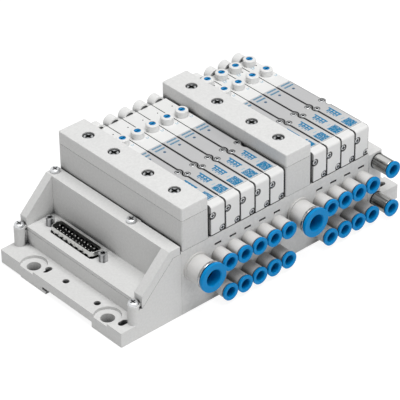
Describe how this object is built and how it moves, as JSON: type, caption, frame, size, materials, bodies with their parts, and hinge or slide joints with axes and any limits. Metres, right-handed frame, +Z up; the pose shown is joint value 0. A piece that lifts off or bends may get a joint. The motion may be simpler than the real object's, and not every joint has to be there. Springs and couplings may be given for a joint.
{
  "type": "pneumatic valve island",
  "caption": "Manifold-mounted row of solenoid valves with push-in tube ports along the front, manual overrides on top and a multi-pin connector at one end.",
  "frame": {"origin": "centre of the four counterbored mounting holes, on the mounting surface", "axes": "+X along the stack away from the connector, +Y from the ports to the back, +Z up"},
  "size_m": [0.2128, 0.1218, 0.0706],
  "materials": {
    "cast_housing": "light grey paint over cast aluminium, satin",
    "moulded_housing": "light grey moulded plastic, fine texture",
    "bright_steel": "zinc-plated steel",
    "tinned_steel": "tinned sheet steel",
    "black_plastic": "black moulded insulator",
    "gold_contact": "gold-plated pins",
    "board": "green circuit board",
    "black_rubber": "black seal",
    "brushed_body": "grey painted and brushed metal",
    "white_plastic": "white moulded plastic",
    "copper_coil": "wound copper coil",
    "port_plastic": "light grey plastic",
    "chrome_rim": "bright rim",
    "plated_brass": "nickel-plated brass",
    "blue_plastic": "clear bright blue plastic"
  },
  "bodies": {
    "island": {"manifold_base": "cast_housing", "right_end_plate": "cast_housing", "connector_housing": "moulded_housing", "connector_cover": "moulded_housing", "cover_screws": "bright_steel", "connector_shell": "tinned_steel", "connector_insulator": "black_plastic", "connector_pins": "gold_contact", "connector_jackscrews": "bright_steel", "circuit_boards": "board", "supply_blocks": "moulded_housing", "supply_caps": "moulded_housing", "supply_cap_screws": "bright_steel", "gaskets": "black_rubber", "valve_bodies": "brushed_body", "valve_front_caps": "white_plastic", "valve_screws": "bright_steel", "pilot_heads": "white_plastic", "pilot_coils": "copper_coil", "spools": "bright_steel", "work_port_bodies": "port_plastic", "large_port_bodies": "port_plastic", "large_port_rims": "chrome_rim", "pilot_port_bodies": "plated_brass", "port_collets": "bright_steel"},
    "override_button_01": {"override_button_01": "blue_plastic"},
    "override_button_02": {"override_button_02": "blue_plastic"},
    "override_button_03": {"override_button_03": "blue_plastic"},
    "override_button_04": {"override_button_04": "blue_plastic"},
    "override_button_05": {"override_button_05": "blue_plastic"},
    "override_button_06": {"override_button_06": "blue_plastic"},
    "override_button_07": {"override_button_07": "blue_plastic"},
    "override_button_08": {"override_button_08": "blue_plastic"},
    "override_button_09": {"override_button_09": "blue_plastic"},
    "override_button_10": {"override_button_10": "blue_plastic"},
    "override_button_11": {"override_button_11": "blue_plastic"},
    "override_button_12": {"override_button_12": "blue_plastic"},
    "override_button_13": {"override_button_13": "blue_plastic"},
    "upper_release_ring_1": {"upper_release_ring_1": "blue_plastic"},
    "upper_release_ring_2": {"upper_release_ring_2": "blue_plastic"},
    "upper_release_ring_3": {"upper_release_ring_3": "blue_plastic"},
    "upper_release_ring_4": {"upper_release_ring_4": "blue_plastic"},
    "upper_release_ring_5": {"upper_release_ring_5": "blue_plastic"},
    "upper_release_ring_6": {"upper_release_ring_6": "blue_plastic"},
    "upper_release_ring_7": {"upper_release_ring_7": "blue_plastic"},
    "upper_release_ring_8": {"upper_release_ring_8": "blue_plastic"},
    "upper_release_ring_9": {"upper_release_ring_9": "blue_plastic"},
    "lower_release_ring_1": {"lower_release_ring_1": "blue_plastic"},
    "lower_release_ring_2": {"lower_release_ring_2": "blue_plastic"},
    "lower_release_ring_3": {"lower_release_ring_3": "blue_plastic"},
    "lower_release_ring_4": {"lower_release_ring_4": "blue_plastic"},
    "lower_release_ring_5": {"lower_release_ring_5": "blue_plastic"},
    "lower_release_ring_6": {"lower_release_ring_6": "blue_plastic"},
    "lower_release_ring_7": {"lower_release_ring_7": "blue_plastic"},
    "lower_release_ring_8": {"lower_release_ring_8": "blue_plastic"},
    "lower_release_ring_9": {"lower_release_ring_9": "blue_plastic"},
    "supply_release_ring": {"supply_release_ring": "blue_plastic"},
    "exhaust_release_ring": {"exhaust_release_ring": "blue_plastic"},
    "pilot_supply_release_ring": {"pilot_supply_release_ring": "blue_plastic"},
    "pilot_exhaust_release_ring": {"pilot_exhaust_release_ring": "blue_plastic"}
  },
  "joints": [
    {"name": "override_button_01_press", "type": "slide", "parent": "island", "child": "override_button_01", "axis": [0, 0, -1], "range_m": [0, 0.0009], "stiffness_N_per_m": 400, "springref_m": -0.0005},
    {"name": "override_button_02_press", "type": "slide", "parent": "island", "child": "override_button_02", "axis": [0, 0, -1], "range_m": [0, 0.0009], "stiffness_N_per_m": 400, "springref_m": -0.0005},
    {"name": "override_button_03_press", "type": "slide", "parent": "island", "child": "override_button_03", "axis": [0, 0, -1], "range_m": [0, 0.0009], "stiffness_N_per_m": 400, "springref_m": -0.0005},
    {"name": "override_button_04_press", "type": "slide", "parent": "island", "child": "override_button_04", "axis": [0, 0, -1], "range_m": [0, 0.0009], "stiffness_N_per_m": 400, "springref_m": -0.0005},
    {"name": "override_button_05_press", "type": "slide", "parent": "island", "child": "override_button_05", "axis": [0, 0, -1], "range_m": [0, 0.0009], "stiffness_N_per_m": 400, "springref_m": -0.0005},
    {"name": "override_button_06_press", "type": "slide", "parent": "island", "child": "override_button_06", "axis": [0, 0, -1], "range_m": [0, 0.0009], "stiffness_N_per_m": 400, "springref_m": -0.0005},
    {"name": "override_button_07_press", "type": "slide", "parent": "island", "child": "override_button_07", "axis": [0, 0, -1], "range_m": [0, 0.0009], "stiffness_N_per_m": 400, "springref_m": -0.0005},
    {"name": "override_button_08_press", "type": "slide", "parent": "island", "child": "override_button_08", "axis": [0, 0, -1], "range_m": [0, 0.0009], "stiffness_N_per_m": 400, "springref_m": -0.0005},
    {"name": "override_button_09_press", "type": "slide", "parent": "island", "child": "override_button_09", "axis": [0, 0, -1], "range_m": [0, 0.0009], "stiffness_N_per_m": 400, "springref_m": -0.0005},
    {"name": "override_button_10_press", "type": "slide", "parent": "island", "child": "override_button_10", "axis": [0, 0, -1], "range_m": [0, 0.0009], "stiffness_N_per_m": 400, "springref_m": -0.0005},
    {"name": "override_button_11_press", "type": "slide", "parent": "island", "child": "override_button_11", "axis": [0, 0, -1], "range_m": [0, 0.0009], "stiffness_N_per_m": 400, "springref_m": -0.0005},
    {"name": "override_button_12_press", "type": "slide", "parent": "island", "child": "override_button_12", "axis": [0, 0, -1], "range_m": [0, 0.0009], "stiffness_N_per_m": 400, "springref_m": -0.0005},
    {"name": "override_button_13_press", "type": "slide", "parent": "island", "child": "override_button_13", "axis": [0, 0, -1], "range_m": [0, 0.0009], "stiffness_N_per_m": 400, "springref_m": -0.0005},
    {"name": "upper_release_ring_1_press", "type": "slide", "parent": "island", "child": "upper_release_ring_1", "axis": [0, 1, 0], "range_m": [0, 0.0008], "stiffness_N_per_m": 500, "springref_m": -0.0005},
    {"name": "upper_release_ring_2_press", "type": "slide", "parent": "island", "child": "upper_release_ring_2", "axis": [0, 1, 0], "range_m": [0, 0.0008], "stiffness_N_per_m": 500, "springref_m": -0.0005},
    {"name": "upper_release_ring_3_press", "type": "slide", "parent": "island", "child": "upper_release_ring_3", "axis": [0, 1, 0], "range_m": [0, 0.0008], "stiffness_N_per_m": 500, "springref_m": -0.0005},
    {"name": "upper_release_ring_4_press", "type": "slide", "parent": "island", "child": "upper_release_ring_4", "axis": [0, 1, 0], "range_m": [0, 0.0008], "stiffness_N_per_m": 500, "springref_m": -0.0005},
    {"name": "upper_release_ring_5_press", "type": "slide", "parent": "island", "child": "upper_release_ring_5", "axis": [0, 1, 0], "range_m": [0, 0.0008], "stiffness_N_per_m": 500, "springref_m": -0.0005},
    {"name": "upper_release_ring_6_press", "type": "slide", "parent": "island", "child": "upper_release_ring_6", "axis": [0, 1, 0], "range_m": [0, 0.0008], "stiffness_N_per_m": 500, "springref_m": -0.0005},
    {"name": "upper_release_ring_7_press", "type": "slide", "parent": "island", "child": "upper_release_ring_7", "axis": [0, 1, 0], "range_m": [0, 0.0008], "stiffness_N_per_m": 500, "springref_m": -0.0005},
    {"name": "upper_release_ring_8_press", "type": "slide", "parent": "island", "child": "upper_release_ring_8", "axis": [0, 1, 0], "range_m": [0, 0.0008], "stiffness_N_per_m": 500, "springref_m": -0.0005},
    {"name": "upper_release_ring_9_press", "type": "slide", "parent": "island", "child": "upper_release_ring_9", "axis": [0, 1, 0], "range_m": [0, 0.0008], "stiffness_N_per_m": 500, "springref_m": -0.0005},
    {"name": "lower_release_ring_1_press", "type": "slide", "parent": "island", "child": "lower_release_ring_1", "axis": [0, 1, 0], "range_m": [0, 0.0008], "stiffness_N_per_m": 500, "springref_m": -0.0005},
    {"name": "lower_release_ring_2_press", "type": "slide", "parent": "island", "child": "lower_release_ring_2", "axis": [0, 1, 0], "range_m": [0, 0.0008], "stiffness_N_per_m": 500, "springref_m": -0.0005},
    {"name": "lower_release_ring_3_press", "type": "slide", "parent": "island", "child": "lower_release_ring_3", "axis": [0, 1, 0], "range_m": [0, 0.0008], "stiffness_N_per_m": 500, "springref_m": -0.0005},
    {"name": "lower_release_ring_4_press", "type": "slide", "parent": "island", "child": "lower_release_ring_4", "axis": [0, 1, 0], "range_m": [0, 0.0008], "stiffness_N_per_m": 500, "springref_m": -0.0005},
    {"name": "lower_release_ring_5_press", "type": "slide", "parent": "island", "child": "lower_release_ring_5", "axis": [0, 1, 0], "range_m": [0, 0.0008], "stiffness_N_per_m": 500, "springref_m": -0.0005},
    {"name": "lower_release_ring_6_press", "type": "slide", "parent": "island", "child": "lower_release_ring_6", "axis": [0, 1, 0], "range_m": [0, 0.0008], "stiffness_N_per_m": 500, "springref_m": -0.0005},
    {"name": "lower_release_ring_7_press", "type": "slide", "parent": "island", "child": "lower_release_ring_7", "axis": [0, 1, 0], "range_m": [0, 0.0008], "stiffness_N_per_m": 500, "springref_m": -0.0005},
    {"name": "lower_release_ring_8_press", "type": "slide", "parent": "island", "child": "lower_release_ring_8", "axis": [0, 1, 0], "range_m": [0, 0.0008], "stiffness_N_per_m": 500, "springref_m": -0.0005},
    {"name": "lower_release_ring_9_press", "type": "slide", "parent": "island", "child": "lower_release_ring_9", "axis": [0, 1, 0], "range_m": [0, 0.0008], "stiffness_N_per_m": 500, "springref_m": -0.0005},
    {"name": "supply_release_ring_press", "type": "slide", "parent": "island", "child": "supply_release_ring", "axis": [0, 1, 0], "range_m": [0, 0.0008], "stiffness_N_per_m": 500, "springref_m": -0.0005},
    {"name": "exhaust_release_ring_press", "type": "slide", "parent": "island", "child": "exhaust_release_ring", "axis": [0, 1, 0], "range_m": [0, 0.0008], "stiffness_N_per_m": 500, "springref_m": -0.0005},
    {"name": "pilot_supply_release_ring_press", "type": "slide", "parent": "island", "child": "pilot_supply_release_ring", "axis": [0, 1, 0], "range_m": [0, 0.0008], "stiffness_N_per_m": 500, "springref_m": -0.0005},
    {"name": "pilot_exhaust_release_ring_press", "type": "slide", "parent": "island", "child": "pilot_exhaust_release_ring", "axis": [0, 1, 0], "range_m": [0, 0.0008], "stiffness_N_per_m": 500, "springref_m": -0.0005}
  ]
}
